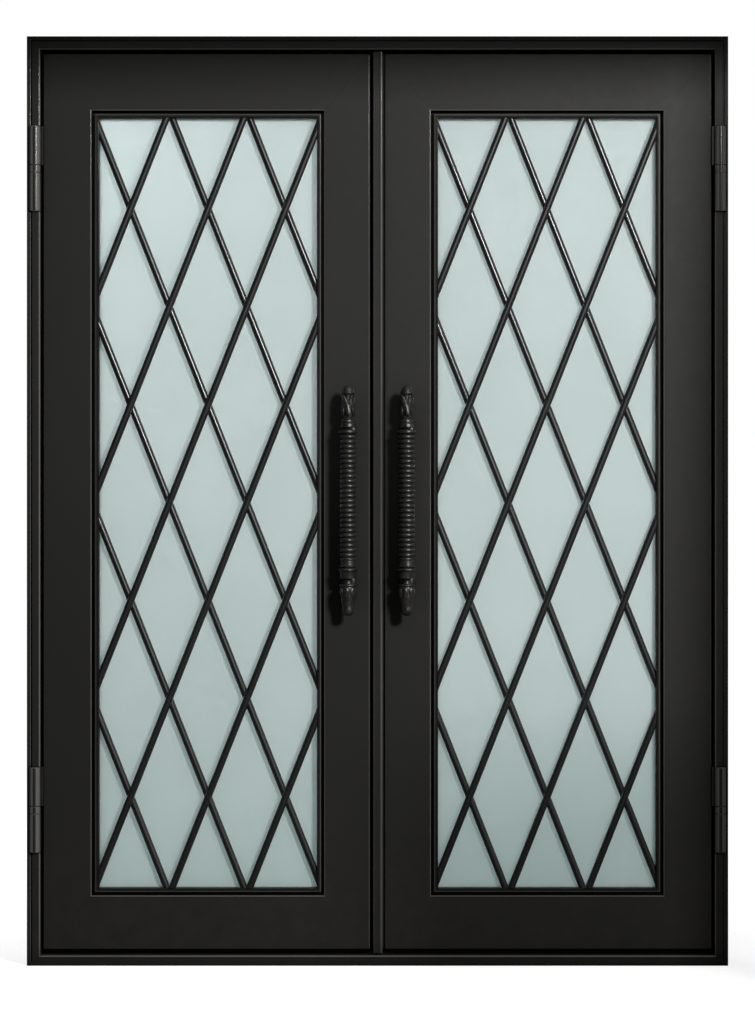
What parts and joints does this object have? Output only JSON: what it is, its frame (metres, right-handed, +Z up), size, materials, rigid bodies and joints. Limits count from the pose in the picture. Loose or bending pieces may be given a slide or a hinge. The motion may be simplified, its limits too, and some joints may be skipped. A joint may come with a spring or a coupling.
{
  "type": "french doors",
  "caption": "Steel double entry door in its frame, with diamond bar grilles over frosted glass, ribbed pull handles and barrel hinges.",
  "frame": {"origin": "underside of the threshold, midway across the doorway and midway through the frame's depth", "axes": "+X across the doorway, -Y out of the face with the hinge barrels, +Z up"},
  "size_m": [1.562, 0.1978, 2.07],
  "materials": {
    "door_paint": "satin near-black, faintly warm",
    "grille_paint": "satin near-black",
    "pull_iron": "blackened, soft sheen on the ribs",
    "bare_steel": "dull steel",
    "frosted_glass": "acid-etched, pale green-blue",
    "spacer_metal": "dark matt",
    "seal_rubber": "matt",
    "seal_pile": "short black pile"
  },
  "bodies": {
    "frame": {"left_jamb": "door_paint", "right_jamb": "door_paint", "head_jamb": "door_paint", "threshold": "door_paint", "frame_weatherseal": "seal_rubber", "catch_strike": "bare_steel", "hinge_bearings": "door_paint", "left_lower_hinge_frame_half": "door_paint", "left_lower_hinge_pin": "bare_steel", "left_upper_hinge_frame_half": "door_paint", "left_upper_hinge_pin": "bare_steel", "right_lower_hinge_frame_half": "door_paint", "right_lower_hinge_pin": "bare_steel", "right_upper_hinge_frame_half": "door_paint", "right_upper_hinge_pin": "bare_steel"},
    "left_leaf": {"left_bottom_rail": "door_paint", "left_bottom_sweep": "seal_rubber", "left_catch_case": "bare_steel", "left_front_bars": "grille_paint", "left_glazing_bead": "door_paint", "left_glazing_stop": "door_paint", "left_grille_surround": "grille_paint", "left_hinge_stile": "door_paint", "left_inner_pane": "frosted_glass", "left_inner_pull": "pull_iron", "left_lower_hinge_leaf_half": "door_paint", "left_meeting_stile": "door_paint", "left_outer_pane": "frosted_glass", "left_outer_pull": "pull_iron", "left_pane_spacer": "spacer_metal", "left_pull_bolts": "bare_steel", "left_rear_bars": "grille_paint", "left_setting_blocks": "seal_rubber", "left_top_rail": "door_paint", "left_upper_hinge_leaf_half": "door_paint"},
    "right_leaf": {"astragal_brush": "seal_pile", "right_astragal": "door_paint", "right_bolt_guides": "bare_steel", "right_bottom_rail": "door_paint", "right_bottom_sweep": "seal_rubber", "right_front_bars": "grille_paint", "right_glazing_bead": "door_paint", "right_glazing_stop": "door_paint", "right_grille_surround": "grille_paint", "right_hinge_stile": "door_paint", "right_inner_pane": "frosted_glass", "right_inner_pull": "pull_iron", "right_lower_hinge_leaf_half": "door_paint", "right_meeting_stile": "door_paint", "right_outer_pane": "frosted_glass", "right_outer_pull": "pull_iron", "right_pane_spacer": "spacer_metal", "right_pull_bolts": "bare_steel", "right_rear_bars": "grille_paint", "right_setting_blocks": "seal_rubber", "right_top_rail": "door_paint", "right_upper_hinge_leaf_half": "door_paint"},
    "top_flush_bolt": {"top_flush_bolt": "bare_steel"},
    "bottom_flush_bolt": {"bottom_flush_bolt": "bare_steel"},
    "catch_pin": {"catch_pin": "bare_steel"}
  },
  "joints": [
    {"name": "left_leaf_swing", "type": "hinge", "parent": "frame", "child": "left_leaf", "pos_m": [-0.7635, -0.062, 0], "axis": [0, 0, -1], "range_deg": [0, 110]},
    {"name": "right_leaf_swing", "type": "hinge", "parent": "frame", "child": "right_leaf", "pos_m": [0.7635, -0.062, 0], "axis": [0, 0, 1], "range_deg": [0, 110]},
    {"name": "top_bolt_slide", "type": "slide", "parent": "right_leaf", "child": "top_flush_bolt", "axis": [0, 0, 1], "range_m": [0, 0.025]},
    {"name": "bottom_bolt_slide", "type": "slide", "parent": "right_leaf", "child": "bottom_flush_bolt", "axis": [0, 0, -1], "range_m": [0, 0.025]},
    {"name": "catch_press", "type": "slide", "parent": "left_leaf", "child": "catch_pin", "axis": [0, 0, 1], "range_m": [-0.006, 0], "stiffness_N_per_m": 1500, "springref_m": 0.004}
  ]
}
